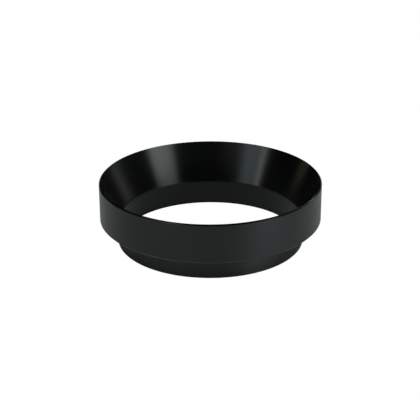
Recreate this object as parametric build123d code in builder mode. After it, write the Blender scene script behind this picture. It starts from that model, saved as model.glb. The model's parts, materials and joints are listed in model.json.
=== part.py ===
"""Short flared snoot: a turned, black-anodised aluminium ring with disc magnets in its shoulder.

Frame: millimetres, +Z up along the ring's axis, origin at the middle of the neck's lower edge, so the
ring stands on Z = 0 with its wide mouth up. The neck drops into a lamp's front ring, the shoulder lands
on the ring's steel face, and the magnets hold it there.
"""

import os

from build123d import *

# Flared ring
OUTER_RADIUS = 35.0
TOTAL_HEIGHT = 20.0
NECK_RADIUS = 29.45
NECK_HEIGHT = 7.4
BORE_RADIUS = 28.55
MOUTH_RADIUS = 34.45
CONE_FOOT_HEIGHT = 7.8  # where the cone would meet the bore if the edge weren't rounded

# Edges of the flared ring
CONE_FOOT_ROUND = 1.3
SHOULDER_CHAMFER = 0.6  # between the shoulder and the outer band
NECK_LEAD_IN = 0.25  # lower end of the neck, outside
RIM_CHAMFER = 0.4  # outer edge of the mouth
EDGE_BREAK = 0.05  # the remaining sharp edges
CORNER_ROUND = 0.2  # tool nose radius between the neck and the shoulder

# Disc magnets, glued into blind pockets in the shoulder
MAGNET_COUNT = 8
MAGNET_RADIUS = 1.5
MAGNET_THICKNESS = 2.0
MAGNET_EDGE_ROUND = 0.15
MAGNET_RECESS = 0.1  # from the shoulder to the magnet's face
GLUE_GAP = 0.05  # round the magnet
MAGNET_PITCH_RADIUS = 32.1

HEIGHT_TOLERANCE = 0.01  # for picking edges by their height

os.makedirs("parts", exist_ok=True)


def round_edges(ring, height):
    """The ring's circular edges at a height, from the inside out."""
    circles = ring.edges().filter_by(GeomType.CIRCLE)
    low, high = height - HEIGHT_TOLERANCE, height + HEIGHT_TOLERANCE
    return circles.filter_by_position(Axis.Z, low, high).sort_by(SortBy.RADIUS)


# Flared ring: neck, shoulder, outer band and conical mouth, turned in one piece
with BuildPart() as flared_ring:
    with BuildSketch(Plane.XZ):
        with BuildLine():
            Polyline(
                (BORE_RADIUS, 0),
                (NECK_RADIUS, 0),
                (NECK_RADIUS, NECK_HEIGHT),
                (OUTER_RADIUS, NECK_HEIGHT),
                (OUTER_RADIUS, TOTAL_HEIGHT),
                (MOUTH_RADIUS, TOTAL_HEIGHT),
                (BORE_RADIUS, CONE_FOOT_HEIGHT),
                close=True,
            )
        make_face()
    revolve(axis=Axis.Z)

    fillet(round_edges(flared_ring, CONE_FOOT_HEIGHT)[0], CONE_FOOT_ROUND)
    fillet(round_edges(flared_ring, NECK_HEIGHT)[0], CORNER_ROUND)
    chamfer(round_edges(flared_ring, NECK_HEIGHT)[-1], SHOULDER_CHAMFER)
    chamfer(round_edges(flared_ring, 0)[-1], NECK_LEAD_IN)
    chamfer(round_edges(flared_ring, 0)[0], EDGE_BREAK)
    chamfer(round_edges(flared_ring, TOTAL_HEIGHT)[-1], RIM_CHAMFER)
    chamfer(round_edges(flared_ring, TOTAL_HEIGHT)[0], EDGE_BREAK)

    with BuildSketch(Plane.XY.offset(NECK_HEIGHT)):
        with PolarLocations(MAGNET_PITCH_RADIUS, MAGNET_COUNT):
            Circle(MAGNET_RADIUS + GLUE_GAP)
    extrude(amount=MAGNET_RECESS + MAGNET_THICKNESS, mode=Mode.SUBTRACT)

flared_ring.part.label = "flared_ring"
export_step(flared_ring.part, "parts/flared_ring.step")


# Magnets: nickel-plated discs, one in each pocket
for number in range(1, MAGNET_COUNT + 1):
    turn = 360 / MAGNET_COUNT * (number - 1)
    with BuildPart() as magnet:
        with BuildSketch(Plane.XY.offset(NECK_HEIGHT + MAGNET_RECESS)):
            with PolarLocations(MAGNET_PITCH_RADIUS, 1, start_angle=turn):
                Circle(MAGNET_RADIUS)
        extrude(amount=MAGNET_THICKNESS)
        fillet(magnet.edges().filter_by(GeomType.CIRCLE), MAGNET_EDGE_ROUND)

    magnet.part.label = f"magnet_{number}"
    export_step(magnet.part, f"parts/magnet_{number}.step")
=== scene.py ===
"""Looks for the short flared snoot: a black anodised turned ring with nickel magnets in its shoulder.

Everything is in metres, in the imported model's frame: +Z up the ring's axis, which stands on Z = 0.
"""

import json
import math

import bmesh
import bpy
from mathutils import Euler, Matrix, Vector


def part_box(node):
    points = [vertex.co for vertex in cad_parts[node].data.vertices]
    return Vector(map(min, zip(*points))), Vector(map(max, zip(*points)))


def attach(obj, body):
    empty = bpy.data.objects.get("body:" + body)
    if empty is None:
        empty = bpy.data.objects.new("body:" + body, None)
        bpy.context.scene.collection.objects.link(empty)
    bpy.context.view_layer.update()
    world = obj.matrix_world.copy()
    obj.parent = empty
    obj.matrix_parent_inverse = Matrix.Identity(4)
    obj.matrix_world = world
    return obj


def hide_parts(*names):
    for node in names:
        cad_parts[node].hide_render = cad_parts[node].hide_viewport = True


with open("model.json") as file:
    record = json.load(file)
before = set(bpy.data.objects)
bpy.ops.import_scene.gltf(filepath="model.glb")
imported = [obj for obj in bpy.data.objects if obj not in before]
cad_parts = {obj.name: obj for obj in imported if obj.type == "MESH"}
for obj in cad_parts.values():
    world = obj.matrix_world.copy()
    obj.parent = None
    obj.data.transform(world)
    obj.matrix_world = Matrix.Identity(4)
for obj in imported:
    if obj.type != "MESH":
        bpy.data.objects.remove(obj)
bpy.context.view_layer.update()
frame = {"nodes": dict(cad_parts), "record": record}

MM = 0.001
mounts = {mount["name"]: mount for mount in frame["record"]["mounts"]}
magnets = sorted(name for name in frame["nodes"] if name.startswith("magnet_"))
ring_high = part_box("flared_ring")[1]

# The ring's profile. The outside and the neck come from the frame, and the rest repeats the CAD's dimensions.
OUTER_RADIUS = ring_high.x
TOTAL_HEIGHT = ring_high.z
NECK_RADIUS = mounts["neck"]["dims"]["r_mm"] * MM
NECK_HEIGHT = mounts["shoulder"]["pos_m"][2]
BORE_RADIUS = 28.55 * MM
MOUTH_RADIUS = 34.45 * MM
CONE_FOOT_HEIGHT = 7.8 * MM
CONE_FOOT_ROUND = 1.3 * MM
SHOULDER_CHAMFER = 0.6 * MM
NECK_LEAD_IN = 0.25 * MM
RIM_CHAMFER = 0.4 * MM
EDGE_BREAK = 0.05 * MM
CORNER_ROUND = 0.2 * MM
GLUE_GAP = 0.05 * MM  # between a magnet and its pocket's wall

# Finer than the CAD
BURNISH = 0.04 * MM  # every turned edge is a little round
POCKET_BREAK = 0.06 * MM  # the drilled edge of a magnet's pocket
GLUE_REACH = 0.12 * MM  # how far the glue creeps over the magnet's face
GLUE_FILM = 0.004 * MM  # the glue's thickness where it ends on that face
GLUE_CLIMB = 0.45  # how far the glue climbs the pocket's wall, as a share of the bead's width
GLUE_DEPTH = 0.3 * MM  # how deep the glue goes beside the magnet

TURN_STEPS = 512  # round the ring
POCKET_STEPS = 64  # round a pocket
GLUE_STEPS = 8  # across a glue bead

# The turned faces, in the order in which the outline passes them
FACES = ("foot", "neck", "shoulder", "chamfer", "outer_band", "rim", "cone", "bore")
FOOT, NECK, SHOULDER, CHAMFER, BAND, RIM, CONE, BORE = range(len(FACES))


# ---------------------------------------------------------------- meshes


def rounded_outline(corners):
    """Points of a closed outline, each with the face after it.

    A corner is (radius, height, size of its round, steps along the round, face after it).
    """
    points = []
    for k, (r, z, size, steps, face) in enumerate(corners):
        here = Vector((r, z))
        before = (Vector(corners[k - 1][:2]) - here).normalized()
        after = (Vector(corners[(k + 1) % len(corners)][:2]) - here).normalized()
        half_angle = before.angle(after) / 2
        middle = here + (before + after).normalized() * size / math.sin(half_angle)
        start = here + before * size / math.tan(half_angle) - middle
        end = here + after * size / math.tan(half_angle) - middle
        turn = start.angle_signed(end)
        for step in range(steps + 1):
            spoke = Matrix.Rotation(-turn * step / steps, 2) @ start
            points.append((middle + spoke, face))
    return points


def circle(bm, centre, radius, z, steps):
    """A circle of new vertices at height z."""
    loop = []
    for k in range(steps):
        turn = 2 * math.pi * k / steps
        x = centre[0] + radius * math.cos(turn)
        y = centre[1] + radius * math.sin(turn)
        loop.append(bm.verts.new((x, y, z)))
    return loop


def wrap(bm, lower, upper, finish=0):
    """Quads between two circles of vertices."""
    for k in range(len(lower)):
        face = bm.faces.new((lower[k - 1], lower[k], upper[k], upper[k - 1]))
        face.smooth = True
        face.material_index = finish


def edges_of(bm, loop):
    """The edges along a closed loop of vertices."""
    return [bm.edges.get((loop[k - 1], loop[k])) for k in range(len(loop))]


def new_piece(name, bm, materials):
    """A mesh object made from bm, riding on the part's one body."""
    bmesh.ops.recalc_face_normals(bm, faces=bm.faces)
    mesh = bpy.data.meshes.new(name)
    bm.to_mesh(mesh)
    bm.free()
    for material in materials:
        mesh.materials.append(material)
    piece = bpy.data.objects.new(name, mesh)
    bpy.context.scene.collection.objects.link(piece)
    even = piece.modifiers.new("even_normals", "WEIGHTED_NORMAL")
    even.keep_sharp = True
    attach(piece, "root")
    return piece


def ring_outline():
    """The ring's section, from the foot outwards and back down the cone and the bore."""
    slope = Vector((MOUTH_RADIUS - BORE_RADIUS, TOTAL_HEIGHT - CONE_FOOT_HEIGHT)).normalized()
    cone_top = Vector((MOUTH_RADIUS, TOTAL_HEIGHT)) - slope * EDGE_BREAK
    return rounded_outline(
        [
            (BORE_RADIUS + EDGE_BREAK, 0, BURNISH / 2, 3, FOOT),
            (NECK_RADIUS - NECK_LEAD_IN, 0, BURNISH, 3, FOOT),
            (NECK_RADIUS, NECK_LEAD_IN, BURNISH * 2, 3, NECK),
            (NECK_RADIUS, NECK_HEIGHT, CORNER_ROUND, 8, SHOULDER),
            (OUTER_RADIUS - SHOULDER_CHAMFER, NECK_HEIGHT, BURNISH, 4, CHAMFER),
            (OUTER_RADIUS, NECK_HEIGHT + SHOULDER_CHAMFER, BURNISH, 4, BAND),
            (OUTER_RADIUS, TOTAL_HEIGHT - RIM_CHAMFER, BURNISH, 4, RIM),
            (OUTER_RADIUS - RIM_CHAMFER, TOTAL_HEIGHT, BURNISH, 4, RIM),
            (MOUTH_RADIUS + EDGE_BREAK, TOTAL_HEIGHT, BURNISH / 2, 3, RIM),
            (cone_top.x, cone_top.y, BURNISH / 2, 3, CONE),
            (BORE_RADIUS, CONE_FOOT_HEIGHT, CONE_FOOT_ROUND, 12, BORE),
            (BORE_RADIUS, EDGE_BREAK, BURNISH / 2, 3, FOOT),
        ]
    )


def ring_mesh():
    """The turned ring, with the magnets' pockets in its shoulder."""
    bm = bmesh.new()
    outline = ring_outline()
    loops = [circle(bm, (0, 0), point.x, point.y, TURN_STEPS) for point, face in outline]
    shoulder = max(k for k, (point, face) in enumerate(outline) if face == SHOULDER)
    for k, (point, face) in enumerate(outline):
        if k != shoulder:
            wrap(bm, loops[k], loops[(k + 1) % len(outline)], face)
    drill_shoulder(bm, loops[shoulder], loops[shoulder + 1])
    return bm


def drill_shoulder(bm, inside, outside):
    """The shoulder's flat face between two circles of vertices, with a blind pocket over each magnet."""
    borders = edges_of(bm, inside) + edges_of(bm, outside)
    for name in magnets:
        low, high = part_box(name)
        centre = (low + high) / 2
        radius = (high.x - low.x) / 2 + GLUE_GAP
        rim = circle(bm, centre, radius + POCKET_BREAK, NECK_HEIGHT, POCKET_STEPS)
        wall = circle(bm, centre, radius, NECK_HEIGHT + POCKET_BREAK, POCKET_STEPS)
        roof = circle(bm, centre, radius, high.z, POCKET_STEPS)
        wrap(bm, rim, wall, SHOULDER)
        wrap(bm, wall, roof, SHOULDER)
        bm.faces.new(roof).material_index = SHOULDER
        for edge in edges_of(bm, rim) + edges_of(bm, wall) + edges_of(bm, roof):
            edge.smooth = False
        borders += edges_of(bm, rim)
    filled = bmesh.ops.triangle_fill(bm, edges=borders, use_beauty=True)
    for face in (item for item in filled["geom"] if isinstance(item, bmesh.types.BMFace)):
        face.material_index = SHOULDER


def glue_mesh(name):
    """A closed bead of glue round a magnet, with a hollow face from the magnet to the pocket's wall."""
    low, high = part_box(name)
    centre = (low + high) / 2
    magnet_radius = (high.x - low.x) / 2
    wall = magnet_radius + GLUE_GAP
    inner = magnet_radius - GLUE_REACH
    width = wall - inner
    outline = [(wall, low.z + GLUE_DEPTH), (inner, low.z + GLUE_DEPTH)]
    for k in range(GLUE_STEPS + 1):
        turn = math.pi / 2 * k / GLUE_STEPS
        climb = GLUE_CLIMB * width * (1 - math.cos(turn)) + GLUE_FILM
        outline.append((inner + width * math.sin(turn), low.z - climb))
    bm = bmesh.new()
    loops = [circle(bm, centre, radius, height, POCKET_STEPS) for radius, height in outline]
    for k in range(len(loops)):
        wrap(bm, loops[k - 1], loops[k])
    return bm


# ---------------------------------------------------------------- materials

# The Mix node's sockets for colours, which share their names with its sockets for numbers and vectors
MIX_COLOR_A = 6
MIX_COLOR_B = 7
MIX_COLOR_RESULT = 2


class Graph:
    """A material's nodes, with short calls for the ones used here."""

    def __init__(self, name):
        self.material = bpy.data.materials.new(name)
        self.material.use_nodes = True
        self.nodes = self.material.node_tree.nodes
        self.links = self.material.node_tree.links
        self.shader = self.nodes["Principled BSDF"]

    def add(self, kind, inputs=None, **settings):
        """A node. An input is a number, a colour, or another node's output."""
        node = self.nodes.new("ShaderNode" + kind)
        for key, value in settings.items():
            setattr(node, key, value)
        for key, value in (inputs or {}).items():
            self.put(node.inputs[key], value)
        return node

    def put(self, socket, value):
        """Links an output to a socket, or sets the socket's own value."""
        if isinstance(value, bpy.types.NodeSocket):
            self.links.new(value, socket)
        else:
            socket.default_value = value

    def set(self, **values):
        """Inputs of the shader, with underscores for spaces."""
        for key, value in values.items():
            self.put(self.shader.inputs[key.replace("_", " ")], value)

    def math(self, operation, first, second=0.0, third=0.0):
        """A sum, product or the like."""
        node = self.add("Math", {0: first, 1: second, 2: third}, operation=operation)
        return node.outputs[0]

    def between(self, value, low, high):
        """Maps a value from 0..1 to low..high."""
        node = self.add("MapRange", {"Value": value, "To Min": low, "To Max": high})
        return node.outputs["Result"]

    def between_colors(self, value, low, high):
        """Maps a value from 0..1 to a blend of two colours."""
        inputs = {"Factor": value, MIX_COLOR_A: (*low, 1), MIX_COLOR_B: (*high, 1)}
        return self.add("Mix", inputs, data_type="RGBA").outputs[MIX_COLOR_RESULT]


def along_turning(graph, pitch, wander):
    """Noise that changes every pitch across the turning marks, and only slowly round the axis."""
    place = graph.add("TexCoord").outputs["Object"]
    flat = graph.add("VectorMath", {0: place, 1: (1, 1, 0)}, operation="MULTIPLY").outputs[0]
    radius = graph.add("VectorMath", {0: flat}, operation="LENGTH").outputs["Value"]
    spoke = graph.add("VectorMath", {0: flat}, operation="NORMALIZE").outputs[0]
    heading = graph.add("SeparateXYZ", {0: spoke})
    height = graph.add("SeparateXYZ", {0: place}).outputs["Z"]
    where = graph.add(
        "CombineXYZ",
        {
            "X": graph.math("MULTIPLY", radius, 1 / pitch),
            "Y": graph.math("MULTIPLY", height, 1 / pitch),
            "Z": graph.math("MULTIPLY", heading.outputs["X"], wander),
        },
    )
    noise = graph.add(
        "TexNoise",
        {
            "Vector": where.outputs[0],
            "W": graph.math("MULTIPLY", heading.outputs["Y"], wander),
            "Scale": 1.0,
            "Detail": 2.0,
            "Roughness": 0.6,
        },
        noise_dimensions="4D",
    )
    return noise.outputs[0]


def grain(graph, size):
    """Noise with no direction, with lumps of about this size."""
    place = graph.add("TexCoord").outputs["Object"]
    noise = graph.add("TexNoise", {"Vector": place, "Scale": 1 / size, "Detail": 3.0})
    return noise.outputs[0]


def anodised(name, roughness, anisotropy):
    """Black anodised aluminium over turning marks: dyed oxide, a little uneven in depth and gloss."""
    graph = Graph(name)
    fine = along_turning(graph, pitch=0.09 * MM, wander=6)
    coarse = along_turning(graph, pitch=0.7 * MM, wander=3)
    haze = grain(graph, size=9 * MM)
    tooth = grain(graph, size=0.12 * MM)

    uneven = graph.math("ADD", graph.math("MULTIPLY", coarse, 0.5), graph.math("MULTIPLY", haze, 0.5))
    height = graph.math("MULTIPLY_ADD", coarse, 3.0, graph.math("MULTIPLY_ADD", tooth, 0.6, fine))
    bump = graph.add("Bump", {"Height": height, "Strength": 1.0, "Distance": 0.0006 * MM})
    tangent = graph.add("Tangent", direction_type="RADIAL", axis="Z")
    graph.set(
        Base_Color=graph.between_colors(haze, (0.0024, 0.0024, 0.0027), (0.0042, 0.004, 0.004)),
        Roughness=graph.between(uneven, roughness - 0.04, roughness + 0.04),
        Specular_IOR_Level=0.35,
        Anisotropic=anisotropy,
        Anisotropic_Rotation=0.25,  # the gloss spreads across the marks
        Tangent=tangent.outputs[0],
        Normal=bump.outputs[0],
    )
    return graph.material


def nickel(name):
    """Nickel plating with fine rub marks."""
    graph = Graph(name)
    rubbed = grain(graph, size=0.5 * MM)
    pits = grain(graph, size=0.08 * MM)
    bump = graph.add("Bump", {"Height": pits, "Strength": 1.0, "Distance": 0.0015 * MM})
    graph.set(
        Base_Color=graph.between_colors(rubbed, (0.56, 0.54, 0.5), (0.68, 0.66, 0.62)),
        Metallic=1.0,
        Roughness=graph.between(rubbed, 0.14, 0.3),
        Normal=bump.outputs[0],
    )
    return graph.material


def set_glue(name):
    """Set adhesive: glossy, smoky, slightly lumpy."""
    graph = Graph(name)
    lumps = grain(graph, size=0.4 * MM)
    bump = graph.add("Bump", {"Height": lumps, "Strength": 1.0, "Distance": 0.01 * MM})
    graph.set(
        Base_Color=graph.between_colors(lumps, (0.05, 0.04, 0.028), (0.12, 0.1, 0.07)),
        Roughness=graph.between(lumps, 0.12, 0.24),
        Normal=bump.outputs[0],
    )
    return graph.material


# ---------------------------------------------------------------- pieces

satin = anodised("black_anodised_satin", roughness=0.36, anisotropy=0.3)
fine_turned = anodised("black_anodised_cone", roughness=0.3, anisotropy=0.9)
broken_edge = anodised("black_anodised_edges", roughness=0.28, anisotropy=0.5)
finish_of = {"cone": fine_turned, "chamfer": broken_edge, "rim": broken_edge}

turned_ring = new_piece("turned_ring", ring_mesh(), [finish_of.get(face, satin) for face in FACES])
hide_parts("flared_ring")

plating = nickel("nickel_plating")
adhesive = set_glue("set_adhesive")
for name in magnets:
    disc = frame["nodes"][name]
    disc.data.materials.clear()
    disc.data.materials.append(plating)
    new_piece(name.replace("magnet", "glue_bead"), glue_mesh(name), [adhesive])

# ---------------------------------------------------------------- studio

CAMERA_DISTANCE = 0.4018
CAMERA_ELEVATION = math.radians(23.46)
CAMERA_ROLL = math.radians(-0.183)
CAMERA_SHIFT = (-0.00013, 0.00893)  # right and up, so that the ring lies a little low in the picture
SENSOR_WIDTH = 36.0  # in millimetres, like the focal length
FOCAL_LENGTH = 107.35

LIGHT_DISTANCE = 2.0
FLOOR_RADIUS = 1.1
FLOOR_TONE = 0.85
BACKDROP_RADIUS = 3.0

# Name, azimuth, elevation, width and height in degrees as seen from the ring, radiance, tint
SOFTBOXES = (
    ("right_high", 327.5, 24, 22.8, 20, 2.1, (1.08, 1.03, 0.89)),
    ("right_low", 325.75, 7, 28.3, 14, 18.5, (0.89, 1.06, 1.05)),
    ("left_wide", 220.5, 30, 16.5, 60, 1.9, (0.86, 1.03, 1.11)),
    ("left_strip", 207.3, 17, 5, 34, 6.8, (1, 1.05, 0.95)),
    ("fill_left", 240, 5, 36, 10, 3.1, (1.03, 0.92, 1.05)),
    ("rear_right", 44, 29, 2, 14, 38, (0.98, 1.06, 0.96)),
    ("rear_left", 150, 9, 12, 18, 0.42, (1.18, 1.12, 0.7)),
    ("overhead", 90, 89, 50, 50, 1.5, (0.95, 1.03, 1.02)),
)


def add_camera():
    """A camera that looks down at the ring from the front, -Y."""
    settings = bpy.data.cameras.new("camera")
    settings.sensor_width = SENSOR_WIDTH
    settings.lens = FOCAL_LENGTH
    camera = bpy.data.objects.new("camera", settings)
    bpy.context.scene.collection.objects.link(camera)
    tilt = Euler((math.pi / 2 - CAMERA_ELEVATION, 0, 0)).to_matrix()
    place = tilt @ Vector((*CAMERA_SHIFT, CAMERA_DISTANCE))
    roll = Matrix.Rotation(CAMERA_ROLL, 3, "Z")
    camera.matrix_world = Matrix.Translation(place) @ (tilt @ roll).to_4x4()
    bpy.context.scene.camera = camera


def softbox(name, azimuth, elevation, width, height, radiance, tint):
    """A softbox that faces the ring."""
    heading, rise = math.radians(azimuth), math.radians(elevation)
    light = bpy.data.lights.new(name, "AREA")
    light.shape = "RECTANGLE"
    light.size = 2 * LIGHT_DISTANCE * math.tan(math.radians(width / 2))
    light.size_y = 2 * LIGHT_DISTANCE * math.tan(math.radians(height / 2))
    light.energy = math.pi * light.size * light.size_y * radiance
    light.color = tint
    away = Vector((math.cos(heading) * math.cos(rise), math.sin(heading) * math.cos(rise), math.sin(rise)))
    facing = away.to_track_quat("Z", "Y").to_matrix().to_4x4()
    lamp = bpy.data.objects.new(name, light)
    bpy.context.scene.collection.objects.link(lamp)
    lamp.matrix_world = Matrix.Translation(away * LIGHT_DISTANCE) @ facing
    return lamp


def add_stage(name, tone, glow):
    """Names the mesh that was just added and paints it matt, with an even glow where asked."""
    material = bpy.data.materials.new(name)
    material.use_nodes = True
    shader = material.node_tree.nodes["Principled BSDF"]
    shader.inputs["Base Color"].default_value = (tone, tone, tone, 1)
    shader.inputs["Specular IOR Level"].default_value = 0
    shader.inputs["Emission Color"].default_value = (1, 1, 1, 1)
    shader.inputs["Emission Strength"].default_value = glow
    stage = bpy.context.object
    stage.name = name
    stage.data.materials.append(material)
    return stage


add_camera()
lamps = {row[0]: softbox(*row) for row in SOFTBOXES}
lamps["overhead"].visible_glossy = False  # it lights the floor and isn't mirrored in the ring

# The ring mirrors a lit floor, and the camera sees only plain white
bpy.ops.mesh.primitive_circle_add(vertices=128, radius=FLOOR_RADIUS, fill_type="NGON")
floor = add_stage("floor", tone=FLOOR_TONE, glow=0)
floor.visible_camera = False

bpy.ops.mesh.primitive_uv_sphere_add(segments=64, ring_count=32, radius=BACKDROP_RADIUS)
backdrop = add_stage("backdrop", tone=0, glow=1)
for ray in ("diffuse", "glossy", "transmission", "shadow", "volume_scatter"):
    setattr(backdrop, f"visible_{ray}", False)

world = bpy.data.worlds.new("studio")
bpy.context.scene.world = world
world.use_nodes = True
world.node_tree.nodes["Background"].inputs["Color"].default_value = (0, 0, 0, 1)

bpy.context.scene.view_settings.view_transform = "Standard"
